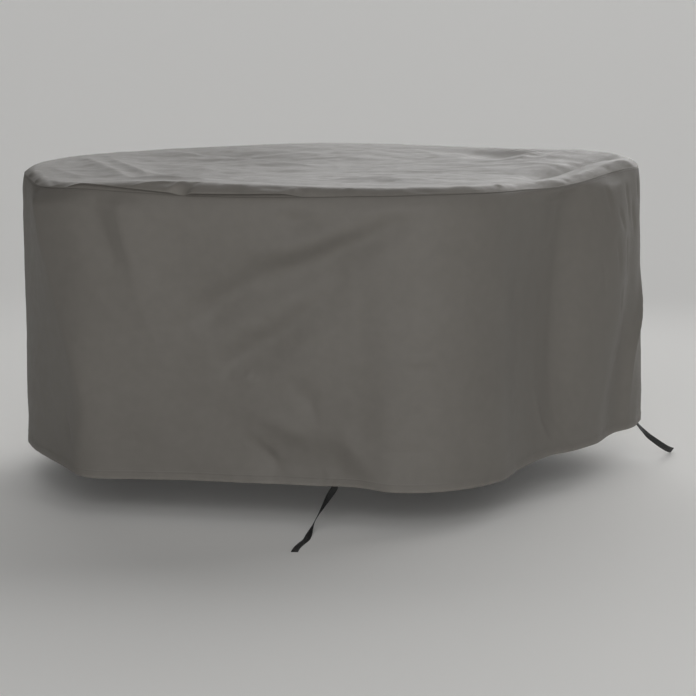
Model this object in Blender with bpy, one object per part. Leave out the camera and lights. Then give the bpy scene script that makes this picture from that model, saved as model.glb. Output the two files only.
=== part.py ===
"""Fitted cover of coated polyester for a round garden set, as it hangs over what it protects.

A cut disc is sewn to a long wall strip that is closed into a ring, and black webbing ties hang from the hem.
The cover is hollow. Units are metres and degrees, with +Z up. The origin is on the underside of the top, at
its middle. Bearings run anticlockwise from +X, seen from above, and the side with the main folds faces -Y.
"""

import math
from collections import namedtuple

import bmesh
import bpy
from mathutils import Matrix, Vector

# Cloth
CLOTH_THICKNESS = 0.002
SEAM_GAP = 0.0003
COLUMNS = 104
FRONT_BEARING = -80.0
FRONT_CROWDING = 0.4  # columns stand closer on the side with the folds: 0 is even, 1 is all in front

# Top
POLE_RADIUS = 0.05
DISH_RINGS = 11
RING_CROWDING = 0.6  # rings stand closer towards the rim, where the folds are
DISH_POWER = 1.5  # how late the dish climbs to the rim
RIM_ROUNDING = 0.032
RIM_STEPS = 3
FOLD_END_POWER = 8  # how close to the rim the folds of the top run out
TURNED_EDGE = 0.007  # the upright strip above the seam
STRIP_TOP = 0.6  # where the strip ends and where a tuck lies, as shares of the turned edge
TUCK_TOP = 0.85
ROLL_OVERHANG = 0.012  # how far a slack pocket bulges past the seam
ROLL_LIFT = 0.15  # share of the rim's turn that a slack pocket leaves out
TUCK_DEPTH = 0.009  # how far the cloth turns back in under a pocket

# Wall
WALL_ROWS = 16
SEAM_STRIP = 0.012
FOLD_FADE = 0.045  # folds start this far below the seam
HEM_DEPTH = 0.025
HEM_FULLNESS = 0.0008
ARC_RADIUS = 0.93  # mean radius, which turns a bearing into a length along the wall

# Ties
WEBBING_WIDTH = 0.020
WEBBING_THICKNESS = 0.0016
SEWN_HEIGHTS = (0.022, 0.010, -0.004)  # the sewn length of a tie, above the hem's edge
SEWN_GAP = 0.0009
STEPS_PER_ROW = 3

# One row for each upright section of the cover.
Section = namedtuple("Section", "bearing seam_radius seam_height rim_rise hem_radius hem_height")
SECTIONS = [
    Section(-180, 1.000, 0.000, 0.020, 0.988, -0.850),
    Section(-165, 0.988, -0.002, 0.018, 0.992, -0.850),
    Section(-151, 1.018, -0.004, 0.018, 0.992, -0.853),
    Section(-143, 1.016, 0.003, 0.016, 1.004, -0.856),
    Section(-137, 1.002, 0.007, 0.020, 1.014, -0.866),
    Section(-128, 0.965, 0.004, 0.031, 0.948, -0.862),
    Section(-118, 0.917, -0.002, 0.038, 0.888, -0.859),
    Section(-103, 0.882, -0.002, 0.033, 0.862, -0.858),
    Section(-92, 0.876, 0.000, 0.026, 0.880, -0.858),
    Section(-85, 0.892, 0.003, 0.022, 0.904, -0.858),
    Section(-79, 0.916, 0.005, 0.020, 0.950, -0.866),
    Section(-70, 0.948, 0.009, 0.018, 0.972, -0.866),
    Section(-58, 0.930, 0.005, 0.018, 0.942, -0.862),
    Section(-48, 0.879, 0.000, 0.018, 0.862, -0.857),
    Section(-36, 0.857, -0.006, 0.020, 0.832, -0.853),
    Section(-23, 0.858, -0.003, 0.018, 0.838, -0.852),
    Section(-10, 0.894, 0.006, 0.021, 0.874, -0.852),
    Section(-2, 0.948, 0.011, 0.024, 0.918, -0.850),
    Section(5, 1.002, 0.008, 0.025, 1.004, -0.847),
    Section(13, 1.034, 0.004, 0.027, 1.054, -0.842),
    Section(26, 1.026, 0.008, 0.028, 1.040, -0.846),
    Section(42, 0.998, 0.002, 0.023, 0.994, -0.852),
    Section(58, 0.975, -0.004, 0.024, 0.962, -0.855),
    Section(76, 0.985, 0.000, 0.021, 0.980, -0.852),
    Section(94, 1.005, 0.002, 0.020, 1.010, -0.852),
    Section(112, 0.990, -0.002, 0.020, 0.978, -0.856),
    Section(130, 0.975, -0.004, 0.022, 0.960, -0.857),
    Section(146, 0.995, -0.002, 0.020, 0.992, -0.852),
    Section(163, 1.004, 0.000, 0.020, 1.002, -0.850),
]

# Slack pockets of the top that hang over the seam.
Pocket = namedtuple("Pocket", "first_bearing last_bearing ease")
POCKETS = [
    Pocket(-143, -119, 5),
    Pocket(-116, -96, 3),
]

# Folds are soft ridges, or troughs where the height is negative, along a straight line.
# Those of the wall are placed by bearing and by drop below the seam.
WallFold = namedtuple("WallFold", "bearing drop end_bearing end_drop height left_reach right_reach")
WALL_FOLDS = [
    WallFold(-152, 0.00, -146, 0.33, 0.016, 0.045, 0.110),  # corner at the left, upper third
    WallFold(-146, 0.33, -139, 0.58, 0.016, 0.045, 0.110),  # corner at the left, middle
    WallFold(-139, 0.58, -142, 0.84, 0.014, 0.050, 0.100),  # corner at the left, down to the hem
    WallFold(-160, 0.30, -157, 0.86, -0.024, 0.100, 0.120),  # flat side left of that corner
    WallFold(-132, 0.04, -130, 0.13, -0.024, 0.055, 0.030),  # hollow under the rim at the left
    WallFold(-130, 0.16, -124, 0.46, -0.011, 0.055, 0.028),  # crease that runs on below it
    WallFold(-98, 0.08, -94, 0.09, -0.009, 0.035, 0.035),  # small hollow under the rim
    WallFold(-79, 0.10, -92, 0.18, -0.014, 0.045, 0.035),  # long slanting trough, upper part
    WallFold(-95, 0.20, -104, 0.24, -0.018, 0.055, 0.045),  # long slanting trough, middle
    WallFold(-106, 0.26, -115, 0.36, -0.022, 0.060, 0.050),  # long slanting trough, lower part
    WallFold(-90, 0.30, -102, 0.42, -0.013, 0.055, 0.040),  # second slanting trough
    WallFold(-104, 0.44, -109, 0.58, -0.016, 0.055, 0.055),  # its end, which turns down
    WallFold(-104, 0.64, -96, 0.70, 0.012, 0.040, 0.035),  # swelling near the hem
    WallFold(-101, 0.79, -91, 0.79, -0.014, 0.060, 0.050),  # hollow under that swelling
    WallFold(-87, 0.72, -82, 0.82, 0.011, 0.045, 0.045),  # small swelling beside it
    WallFold(-70, 0.10, -69, 0.80, 0.010, 0.120, 0.100),  # upright swelling at the front
    WallFold(-46, 0.10, -42, 0.78, -0.014, 0.130, 0.120),  # broad upright trough
    WallFold(5, 0.45, 1, 0.84, 0.016, 0.032, 0.022),  # folded edge at the right
    WallFold(-37, 0.66, -28, 0.84, 0.010, 0.045, 0.035),  # curved fold near the hem
]

# Those of the top are placed by x and y.
TopFold = namedtuple("TopFold", "x y end_x end_y height left_reach right_reach")
TOP_FOLDS = [
    TopFold(-0.64, 0.70, -0.42, 0.41, 0.022, 0.060, 0.140),  # long crest from the far left, outer half
    TopFold(-0.42, 0.41, -0.10, 0.17, 0.018, 0.060, 0.140),  # long crest from the far left, inner half
    TopFold(-0.86, 0.44, -0.66, -0.34, 0.014, 0.070, 0.055),  # fold across the left
    TopFold(-0.74, 0.44, -0.56, -0.28, 0.011, 0.060, 0.050),  # its neighbour
    TopFold(-0.94, -0.10, -0.84, -0.46, 0.012, 0.050, 0.045),  # along the left rim
    TopFold(0.60, 0.16, 0.84, 0.60, 0.015, 0.050, 0.070),  # first crest at the far right
    TopFold(0.66, -0.02, 0.90, 0.36, 0.016, 0.050, 0.060),  # second crest at the far right
    TopFold(0.64, -0.30, 0.90, 0.14, -0.026, 0.060, 0.070),  # deep fold in front of them
    TopFold(-0.62, -0.54, -0.42, -0.62, 0.014, 0.055, 0.045),  # corner of the pocket at the left
    TopFold(0.38, -0.68, 0.60, -0.54, 0.010, 0.045, 0.045),  # pucker at the front right
]

# A tie is sewn flat to the inside of the hem at a bearing and then runs through these rows to its free end.
# Turn is the roll of the webbing about its own line.
TieRow = namedtuple("TieRow", "x y z turn")
FRONT_TIE_BEARING = -89.8
FRONT_TIE = [
    TieRow(-0.004, -0.884, -0.884, 14),
    TieRow(-0.020, -0.888, -0.911, 45),
    TieRow(-0.036, -0.895, -0.938, 62),
    TieRow(-0.051, -0.912, -0.962, 60),
    TieRow(-0.061, -0.944, -0.978, 34),
    TieRow(-0.066, -0.990, -0.9835, 8),
    TieRow(-0.072, -1.045, -0.984, 0),
    TieRow(-0.086, -1.100, -0.984, 0),
    TieRow(-0.097, -1.152, -0.984, 0),
    TieRow(-0.103, -1.203, -0.984, 0),
]
RIGHT_TIE_BEARING = 8.0
RIGHT_TIE = [
    TieRow(1.035, 0.158, -0.878, 12),
    TieRow(1.055, 0.188, -0.900, 26),
    TieRow(1.080, 0.222, -0.922, 38),
    TieRow(1.106, 0.258, -0.944, 48),
    TieRow(1.131, 0.300, -0.964, 56),
    TieRow(1.154, 0.348, -0.979, 62),
]


def clear_scene():
    for obj in list(bpy.data.objects):
        bpy.data.objects.remove(obj, do_unlink=True)


def make_material(name, colour, roughness):
    material = bpy.data.materials.new(name)
    material.use_nodes = True
    shader = material.node_tree.nodes["Principled BSDF"]
    shader.inputs["Base Color"].default_value = (*colour, 1.0)
    shader.inputs["Roughness"].default_value = roughness
    shader.inputs["Metallic"].default_value = 0.0
    return material


def ease(share):
    share = min(1.0, max(0.0, share))
    return share * share * (3.0 - 2.0 * share)


def between(before, start, end, after, share):
    """Smooth curve through start and end, given as (position, value) with a neighbour on each side."""
    span = end[0] - start[0]
    leave = (end[1] - before[1]) / (end[0] - before[0]) * span
    arrive = (after[1] - start[1]) / (after[0] - start[0]) * span
    square = share * share
    cube = square * share
    return (
        (2 * cube - 3 * square + 1) * start[1]
        + (cube - 2 * square + share) * leave
        + (3 * square - 2 * cube) * end[1]
        + (cube - square) * arrive
    )


def section_at(bearing):
    """The sections' values at any bearing, in one smooth curve round the cover."""
    count = len(SECTIONS)
    turned = (bearing - SECTIONS[0].bearing) % 360.0 + SECTIONS[0].bearing
    index = max(i for i, section in enumerate(SECTIONS) if section.bearing <= turned + 1e-9)

    def row(step):
        laps, place = divmod(index + step, count)
        return SECTIONS[place], SECTIONS[place].bearing + 360.0 * laps

    rows = [row(step) for step in (-1, 0, 1, 2)]
    share = (turned - rows[1][1]) / (rows[2][1] - rows[1][1])
    values = [
        between(*[(place, section[column]) for section, place in rows], share)
        for column in range(1, len(Section._fields))
    ]
    return Section(bearing, *values)


def fold_height(fold, across, up):
    """The height of one fold at a point of the flat cloth, in metres, with its ends rounded."""
    start, end = fold[0], fold[1]
    along = end - start
    point = Vector((across, up))
    share = min(1.0, max(0.0, (point - start).dot(along) / along.length_squared))
    offset = point - (start + along * share)
    distance = offset.length
    if distance < 1e-9:
        return fold[2]
    side = (along.x * offset.y - along.y * offset.x) / (along.length * distance)
    reach = 0.5 * (fold[3] + fold[4]) + 0.5 * (fold[3] - fold[4]) * side
    return fold[2] * math.exp(-((distance / reach) ** 2))


def on_wall(bearing, drop):
    return Vector((math.radians(bearing) * ARC_RADIUS, -drop))


FLAT_WALL_FOLDS = [
    (
        on_wall(fold.bearing, fold.drop),
        on_wall(fold.end_bearing, fold.end_drop),
        fold.height,
        fold.left_reach,
        fold.right_reach,
    )
    for fold in WALL_FOLDS
]

FLAT_TOP_FOLDS = [
    (
        Vector((fold.x, fold.y)),
        Vector((fold.end_x, fold.end_y)),
        fold.height,
        fold.left_reach,
        fold.right_reach,
    )
    for fold in TOP_FOLDS
]


def pocket_at(bearing):
    """How much the top hangs over its seam here, from 0 to 1."""
    most = 0.0
    for pocket in POCKETS:
        inside = min(bearing - pocket.first_bearing, pocket.last_bearing - bearing)
        most = max(most, ease(inside / pocket.ease))
    return most


def polar(radius, bearing, height):
    angle = math.radians(bearing)
    return Vector((radius * math.cos(angle), radius * math.sin(angle), height))


def wall_point(bearing, drop_share):
    """A point of the wall's outer face. The share runs from 0 at the seam to 1 at the hem."""
    section = section_at(bearing)
    drop = drop_share * (section.seam_height - section.hem_height)
    flat = on_wall(bearing, drop)
    folds = sum(fold_height(fold, flat.x, flat.y) for fold in FLAT_WALL_FOLDS)
    lean = ease(drop_share)
    radius = section.seam_radius * (1 - lean) + section.hem_radius * lean
    radius += folds * ease(drop / FOLD_FADE)
    return polar(radius, bearing, section.seam_height - drop)


def dish_point(bearing, share):
    """A point of the top inside the rim. The share runs from 0 at the middle to 1 at the highest line."""
    section = section_at(bearing)
    rim = section.seam_height + section.rim_rise
    climb = share**DISH_POWER
    point = polar(share * (section.seam_radius - RIM_ROUNDING), bearing, 0.0)
    folds = sum(fold_height(fold, point.x, point.y) for fold in FLAT_TOP_FOLDS)
    point.z = CLOTH_THICKNESS + climb * (rim - CLOTH_THICKNESS) + folds * (1 - share**FOLD_END_POWER)
    return point


def rim_point(bearing, share):
    """A point of the rounded rim. The share runs from 0 at its highest line to 1 above the upright strip."""
    section = section_at(bearing)
    turn = share * math.pi / 2
    radius = section.seam_radius - RIM_ROUNDING * (1 - math.sin(turn))
    foot = section.seam_height + TURNED_EDGE
    rise = section.rim_rise - TURNED_EDGE
    slack = pocket_at(bearing)
    radius += slack * ROLL_OVERHANG * math.sin(turn) ** 2
    return polar(radius, bearing, foot + rise * math.cos(turn * (1 - ROLL_LIFT * slack)))


def tuck_point(bearing):
    """The inner corner under a pocket, which lies on the upright strip where there is no pocket."""
    section = section_at(bearing)
    radius = section.seam_radius - TUCK_DEPTH * pocket_at(bearing)
    return polar(radius, bearing, section.seam_height + TUCK_TOP * TURNED_EDGE)


def strip_point(bearing, share):
    """A point of the upright strip that ends at the seam."""
    section = section_at(bearing)
    top = STRIP_TOP * TURNED_EDGE
    height = section.seam_height + SEAM_GAP + (top - SEAM_GAP) * (1 - share)
    return polar(section.seam_radius, bearing, height)


def column_bearing(index):
    turn = 2 * math.pi * index / COLUMNS
    bearing = FRONT_BEARING + math.degrees(turn - FRONT_CROWDING * math.sin(turn))
    return (bearing + 180.0) % 360.0 - 180.0


def next_ring(mesh, edges, label, place):
    """Extrudes an open ring of edges and puts each new point where place(its label) says."""
    made = bmesh.ops.extrude_edge_only(mesh, edges=edges)["geom"]
    for item in made:
        if isinstance(item, bmesh.types.BMVert):
            item.co = place(item[label])
    return [
        item for item in made if isinstance(item, bmesh.types.BMEdge) and len(item.link_faces) == 1
    ]


def first_ring(mesh, label, place, filled):
    """The ring that a sheet grows from, with each point labelled by its bearing."""
    circle = bmesh.ops.create_circle(
        mesh, cap_ends=filled, cap_tris=filled, radius=1.0, segments=COLUMNS
    )["verts"]
    ring = [vertex for vertex in circle if len(vertex.link_edges) < COLUMNS]
    ring.sort(key=lambda vertex: math.atan2(vertex.co.y, vertex.co.x) % (2 * math.pi))
    for index, vertex in enumerate(ring):
        vertex[label] = column_bearing(index)
        vertex.co = place(vertex[label])
    return [edge for edge in mesh.edges if len(edge.link_faces) < 2]


def finish_object(name, mesh, material):
    data = bpy.data.meshes.new(name)
    mesh.to_mesh(data)
    mesh.free()
    data.materials.append(material)
    obj = bpy.data.objects.new(name, data)
    bpy.context.scene.collection.objects.link(obj)
    return obj


def finish_sheet(name, mesh, material):
    """Makes an outer face into cloth of its full thickness, with all the thickness on the inside."""
    bmesh.ops.recalc_face_normals(mesh, faces=mesh.faces)
    lowest = min(mesh.faces, key=lambda face: face.calc_center_median().z)
    if lowest.normal.dot(lowest.calc_center_median()) < 0:
        bmesh.ops.reverse_faces(mesh, faces=mesh.faces)
    sheet = finish_object(name, mesh, material)
    sheet.data.shade_smooth()
    cloth = sheet.modifiers.new("Cloth thickness", "SOLIDIFY")
    cloth.thickness = CLOTH_THICKNESS
    cloth.offset = -1.0


def make_top_panel(material):
    mesh = bmesh.new()
    label = mesh.verts.layers.float.new("bearing")
    pole_share = POLE_RADIUS / ARC_RADIUS
    edges = first_ring(mesh, label, lambda bearing: dish_point(bearing, pole_share), True)
    middle = next(vertex for vertex in mesh.verts if len(vertex.link_edges) == COLUMNS)
    middle.co = dish_point(FRONT_BEARING, 0.0)
    for step in range(1, DISH_RINGS + 1):
        share = pole_share + (1 - pole_share) * (step / DISH_RINGS) ** RING_CROWDING
        edges = next_ring(mesh, edges, label, lambda bearing, share=share: dish_point(bearing, share))
    for step in range(1, RIM_STEPS + 1):
        share = step / RIM_STEPS
        edges = next_ring(mesh, edges, label, lambda bearing, share=share: rim_point(bearing, share))
    edges = next_ring(mesh, edges, label, tuck_point)
    edges = next_ring(mesh, edges, label, lambda bearing: strip_point(bearing, 0.0))
    next_ring(mesh, edges, label, lambda bearing: strip_point(bearing, 1.0))
    finish_sheet("top_panel", mesh, material)


def wall_shares():
    """The rows of the wall, from seam to hem, with a narrow one at each end."""
    depth = SECTIONS[0].seam_height - SECTIONS[0].hem_height
    first = SEAM_STRIP / depth
    last = 1 - HEM_DEPTH / depth
    inner = [first + (last - first) * row / WALL_ROWS for row in range(WALL_ROWS + 1)]
    return [0.0, *inner, 1.0]


def hem_point(bearing, drop_share):
    """A point of the turned-up hem, which stands a little proud of the wall."""
    return wall_point(bearing, drop_share) + polar(HEM_FULLNESS, bearing, 0.0)


def make_wall_panel(material):
    mesh = bmesh.new()
    label = mesh.verts.layers.float.new("bearing")
    shares = wall_shares()
    edges = first_ring(mesh, label, lambda bearing: wall_point(bearing, shares[0]), False)
    for share in shares[1:-1]:
        edges = next_ring(mesh, edges, label, lambda bearing, share=share: wall_point(bearing, share))
    next_ring(mesh, edges, label, lambda bearing: hem_point(bearing, shares[-1]))
    finish_sheet("wall_panel", mesh, material)


def hem_facet(bearing):
    """The flat part of the hem at a bearing: the middle of its upper and lower edges, and its direction."""
    count = range(COLUMNS)
    column = min(count, key=lambda index: abs(column_bearing(index + 0.5) - bearing))
    upper = [wall_point(column_bearing(index), wall_shares()[-2]) for index in (column, column + 1)]
    lower = [hem_point(column_bearing(index), 1.0) for index in (column, column + 1)]
    side = (upper[1] - upper[0] + lower[1] - lower[0]).normalized()
    return (upper[0] + upper[1]) / 2, (lower[0] + lower[1]) / 2, side


def sewn_rows(bearing):
    """The part of a tie that lies flat on the inside of the hem, and its first few millimetres below."""
    top, edge, side = hem_facet(bearing)
    inset = CLOTH_THICKNESS + SEWN_GAP + WEBBING_THICKNESS / 2
    inward = side.cross(edge - top).normalized() * inset
    places = [edge.lerp(top, height / HEM_DEPTH) + inward for height in SEWN_HEIGHTS]
    return [TieRow(*place, 0) for place in places]


def smooth_route(rows):
    """Points of a smooth curve through a tie's rows, each with the turn of the webbing there."""
    last = len(rows) - 1
    route = []
    for index in range(last):
        near = [(place, rows[min(last, max(0, place))]) for place in range(index - 1, index + 3)]
        for part in range(STEPS_PER_ROW):
            share = part / STEPS_PER_ROW
            values = [
                between(*[(place, row[column]) for place, row in near], share)
                for column in range(len(TieRow._fields))
            ]
            route.append((Vector(values[:3]), math.radians(values[3])))
    route.append((Vector(rows[last][:3]), math.radians(rows[last].turn)))
    return route


def webbing_corners(route, index, first_side):
    """The four corners of the webbing at one step of its route."""
    point, turn = route[index]
    along = route[min(len(route) - 1, index + 1)][0] - route[max(0, index - 1)][0]
    along.normalize()
    side = (first_side - along * first_side.dot(along)).normalized()
    side.rotate(Matrix.Rotation(turn, 3, along))
    across = side * (WEBBING_WIDTH / 2)
    through = along.cross(side) * (WEBBING_THICKNESS / 2)
    return [
        point + across + through,
        point - across + through,
        point - across - through,
        point + across - through,
    ]


def make_tie(name, bearing, rows, material):
    """Flat webbing along a route, with its width along the hem where it is sewn."""
    route = smooth_route(sewn_rows(bearing) + rows)
    side = hem_facet(bearing)[2]
    mesh = bmesh.new()
    label = mesh.verts.layers.int.new("corner")
    ring = bmesh.ops.create_circle(mesh, cap_ends=False, radius=WEBBING_WIDTH, segments=4)["verts"]
    for corner, vertex in enumerate(ring):
        vertex[label] = corner
        vertex.co = webbing_corners(route, 0, side)[corner]
    edges = list(mesh.edges)
    for index in range(1, len(route)):
        corners = webbing_corners(route, index, side)
        edges = next_ring(mesh, edges, label, lambda corner, corners=corners: corners[corner])
    bmesh.ops.holes_fill(mesh, edges=mesh.edges, sides=4)
    bmesh.ops.recalc_face_normals(mesh, faces=mesh.faces)
    finish_object(name, mesh, material)


def make_cover():
    clear_scene()
    polyester = make_material("Coated polyester, taupe grey", (0.21, 0.195, 0.18), 0.7)
    webbing = make_material("Polypropylene webbing, black", (0.012, 0.012, 0.012), 0.6)
    make_top_panel(polyester)
    make_wall_panel(polyester)
    make_tie("tie_front", FRONT_TIE_BEARING, FRONT_TIE, webbing)
    make_tie("tie_right", RIGHT_TIE_BEARING, RIGHT_TIE, webbing)


make_cover()
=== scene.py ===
"""Fitted round cover of coated polyester, dressed with its folds, seams, stitching and finish.

Units are metres and degrees, and millimetres in the tables of folds. +Z is up, and the origin is on the
underside of the top, at its middle. Bearings run anticlockwise from +X, seen from above, and the side with
the main folds faces -Y.
"""

import math
from collections import namedtuple

import bmesh
import bpy
import numpy as np
from mathutils import Matrix, Vector, noise


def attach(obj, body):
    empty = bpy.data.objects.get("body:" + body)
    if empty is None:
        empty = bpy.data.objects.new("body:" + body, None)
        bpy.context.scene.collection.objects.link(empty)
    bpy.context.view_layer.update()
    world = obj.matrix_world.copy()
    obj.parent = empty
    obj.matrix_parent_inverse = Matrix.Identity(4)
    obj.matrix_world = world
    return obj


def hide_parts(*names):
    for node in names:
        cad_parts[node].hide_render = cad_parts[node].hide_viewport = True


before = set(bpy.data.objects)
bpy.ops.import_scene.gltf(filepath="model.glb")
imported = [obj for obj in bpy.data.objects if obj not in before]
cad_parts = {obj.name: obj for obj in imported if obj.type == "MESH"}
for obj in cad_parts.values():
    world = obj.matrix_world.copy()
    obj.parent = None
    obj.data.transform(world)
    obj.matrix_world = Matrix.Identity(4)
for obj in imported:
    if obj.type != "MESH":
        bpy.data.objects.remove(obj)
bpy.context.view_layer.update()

# ---------------------------------------------------------------- camera

IMAGE_WIDTH = 696
FOCAL_PIXELS = 2790
SENSOR = 36.0
CAMERA_PLACE = (0.05, -9.0, 0.77)
CAMERA_FALL = 8.5  # degrees below the horizon


def make_camera():
    data = bpy.data.cameras.new("Camera")
    data.sensor_width = SENSOR
    data.lens = FOCAL_PIXELS / IMAGE_WIDTH * SENSOR
    data.clip_end = 2000.0
    camera = bpy.data.objects.new("Camera", data)
    camera.location = CAMERA_PLACE
    camera.rotation_euler = (math.radians(90.0 - CAMERA_FALL), 0.0, 0.0)
    bpy.context.scene.collection.objects.link(camera)
    bpy.context.scene.camera = camera


make_camera()

# ---------------------------------------------------------------- sizes

CLOTH_THICKNESS = 0.002
ARC_RADIUS = 0.93  # turns bearings into lengths round the cover
FRONT_BEARING = -70.0
FRONT_CROWDING = 0.42  # columns stand closer on the side with the folds

TOP_COLUMNS = 480
DISH_RINGS = 72
RING_CROWDING = 0.7  # rings stand closer near the rim
DISH_POWER = 1.5
FOLD_END_POWER = 8  # how late the top's folds fade out towards the rim
RIM_STEPS = 16
RIM_ROUNDING = 0.046
RIM_SLOPE = 2.4  # how late the rim falls away: 1 is a straight slope
RIM_FOLDS_BEGIN = 1 / 6  # the share of the rim over which its creases grow, and then fade
RIM_FOLDS_END = 1 / 5
RIM_WEAR = 0.2
RIM_WEAR_RINGS = 3  # the wear begins this many rings inside the rim
POCKET_SLOPE = 1.9
POCKET_TURN = 0.7  # how a pocket turns down: 0.5 is round and 1 is a corner
POCKET_EDGE = 0.0045
TURNED_EDGE = 0.0012
TUCK_TOP = 0.85  # this and the strip's top are shares of the height of the rim's foot
TUCK_DEPTH = 0.012
STRIP_TOP = 0.6
SEAM_GAP = 0.0003

WALL_COLUMNS = 570
WALL_ROWS = 66
WALL_DEPTH = 0.852  # from seam to hem on average
SEAM_ROWS = (0.0, 0.004, 0.008, 0.012)  # below the seam
EDGE_DEPTH = 0.060
LAP = 0.0008  # the top's edge laps over the wall's by this much
LAP_RUN = 0.010
FOLD_FADE = 0.045

HEM_DEPTH = 0.0235
HEM_ROWS = (0.0265, 0.025, 0.0235, 0.0215, 0.020, 0.0185, 0.011, 0.002, 0.0)  # above the hem's edge
HEM_STEP = 0.003
HEM_FULLNESS = 0.0011
HEM_STITCHES = 0.020
HEM_GROOVE = 0.0006
HEM_GROOVE_REACH = 0.0013
HEM_PUCKER_REACH = 0.026
HEM_WEAR = 0.5
HEM_WEAR_REACH = 0.006

CLOSING_BEARING = 110.0  # the seam that closes the wall, at the back
RIM_CALM = 0.12  # the rim's puckers fade out over this much on both sides of it, so that they meet
CLOSING_HALF = 0.006
CLOSING_LAP = 0.0014
CLOSING_COLUMNS = (1.0, 1.25, 2.0)  # in half widths of the seam

THREAD = 0.0007
STITCH = 0.0060
STITCH_FILL = 0.82  # the share of its step that a stitch covers
ROUND_POINTS = 1441  # on a line of stitches round the cover, which is sewn in parts
ROUND_PARTS = 12
SEAM_STITCHES = 0.006  # below the seam
CLOSING_STITCHES = 0.0042  # to either side of the closing seam
CLOSING_SHARES = (0.02, 0.96)  # where they begin and end, as shares of the way down
CLOSING_POINTS = 60
TACK_SIZE = 0.015  # the stitched square that holds a tie
TACK_HEIGHT = 0.0105
TACK_STEP = 0.0030
TACK_POINTS = 9

WEBBING_WIDTH = 0.020
WEBBING_THICKNESS = 0.0016
TIE_COLUMNS = 6
TIE_STEPS = 12  # parts between two rows of a tie
FOLD_STEPS = 3

# A tie is sewn flat to the inside of the hem and then runs through these rows to its free end: x, y, z and
# the roll of the webbing about its own line.
FRONT_TIE_SIDE = (0.9719, -0.2353, 0.0121)
FRONT_TIE = [
    (0.0098, -0.8786, -0.8360, 0),
    (0.0098, -0.8806, -0.8481, 0),
    (0.0098, -0.8829, -0.8623, 0),
    (-0.0040, -0.8840, -0.8840, 14),
    (-0.0200, -0.8880, -0.9110, 45),
    (-0.0360, -0.8950, -0.9380, 62),
    (-0.0510, -0.9120, -0.9620, 60),
    (-0.0610, -0.9440, -0.9780, 34),
    (-0.0660, -0.9900, -0.9835, 8),
    (-0.0720, -1.0450, -0.9840, 0),
    (-0.0860, -1.1000, -0.9840, 0),
    (-0.0970, -1.1520, -0.9840, 0),
    (-0.1030, -1.2030, -0.9840, 0),
]
RIGHT_TIE_SIDE = (0.2795, 0.9594, 0.0383)
RIGHT_TIE = [
    (1.0107, 0.1330, -0.8233, 0),
    (1.0110, 0.1330, -0.8353, 0),
    (1.0115, 0.1331, -0.8494, 0),
    (1.0350, 0.1580, -0.8780, 12),
    (1.0550, 0.1880, -0.9000, 26),
    (1.0800, 0.2220, -0.9220, 38),
    (1.1060, 0.2580, -0.9440, 48),
    (1.1310, 0.3000, -0.9640, 56),
    (1.1540, 0.3480, -0.9790, 62),
]

# Where a tie is sewn on, the wall is drawn in against it, as the hem is in the frame.
SewnEnd = namedtuple("SewnEnd", "bearing looseness")
SEWN_ENDS = [SewnEnd(-89.4, -0.0032), SewnEnd(7.5, -0.0026)]
SEWN_REACH = 0.020
SEWN_FADE = 0.030

Section = namedtuple("Section", "bearing seam_radius seam_height rim_rise hem_radius hem_height")
SECTIONS = [Section(*row) for row in [
    (-180, 1.000, 0.000, 0.020, 0.988, -0.850),
    (-165, 0.988, -0.002, 0.018, 0.992, -0.850),
    (-151, 1.018, -0.004, 0.018, 0.992, -0.853),
    (-143, 1.016, 0.003, 0.016, 1.004, -0.856),
    (-137, 1.002, 0.007, 0.020, 1.014, -0.866),
    (-128, 0.965, 0.004, 0.031, 0.948, -0.862),
    (-118, 0.917, -0.002, 0.038, 0.888, -0.859),
    (-103, 0.882, -0.002, 0.033, 0.862, -0.858),
    (-92, 0.876, 0.000, 0.026, 0.880, -0.858),
    (-85, 0.892, 0.003, 0.022, 0.904, -0.858),
    (-79, 0.916, 0.005, 0.020, 0.950, -0.866),
    (-70, 0.948, 0.009, 0.018, 0.972, -0.866),
    (-58, 0.930, 0.005, 0.018, 0.942, -0.862),
    (-48, 0.879, 0.000, 0.018, 0.862, -0.857),
    (-36, 0.857, -0.006, 0.020, 0.832, -0.853),
    (-23, 0.858, -0.003, 0.018, 0.838, -0.852),
    (-10, 0.894, 0.006, 0.021, 0.874, -0.852),
    (-2, 0.948, 0.011, 0.024, 0.918, -0.850),
    (5, 1.002, 0.008, 0.025, 1.004, -0.847),
    (13, 1.034, 0.004, 0.027, 1.054, -0.842),
    (26, 1.026, 0.008, 0.028, 1.040, -0.846),
    (42, 0.998, 0.002, 0.023, 0.994, -0.852),
    (58, 0.975, -0.004, 0.024, 0.962, -0.855),
    (76, 0.985, 0.000, 0.021, 0.980, -0.852),
    (94, 1.005, 0.002, 0.020, 1.010, -0.852),
    (112, 0.990, -0.002, 0.020, 0.978, -0.856),
    (130, 0.975, -0.004, 0.022, 0.960, -0.857),
    (146, 0.995, -0.002, 0.020, 0.992, -0.852),
    (163, 1.004, 0.000, 0.020, 1.002, -0.850),
]]

# A slack pocket of the top hangs over the seam. It swells and sags in over some degrees at either end, and
# its lower edge stays above the seam by a first and a last height.
Pocket = namedtuple("Pocket", "first_bearing last_bearing first_ease last_ease overhang first_lift last_lift")
POCKETS = [
    Pocket(-144, -119.5, 7, 1.5, 0.010, 0.017, 0.001),
    Pocket(-118.5, -95, 1.6, 5, 0.017, 0.003, 0.007),
]

# How far the wall's upper edge is drawn in by the rounding of the rim, by bearing.
EDGE_ROWS = [
    (-180, 0.006),
    (-148, 0.006),
    (-128, 0.011),
    (-105, 0.016),
    (-85, 0.019),
    (-60, 0.019),
    (-38, 0.015),
    (-15, 0.009),
    (5, 0.006),
    (180, 0.006),
]

# ---------------------------------------------------------------- folds, in millimetres

MM = 0.001

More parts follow.
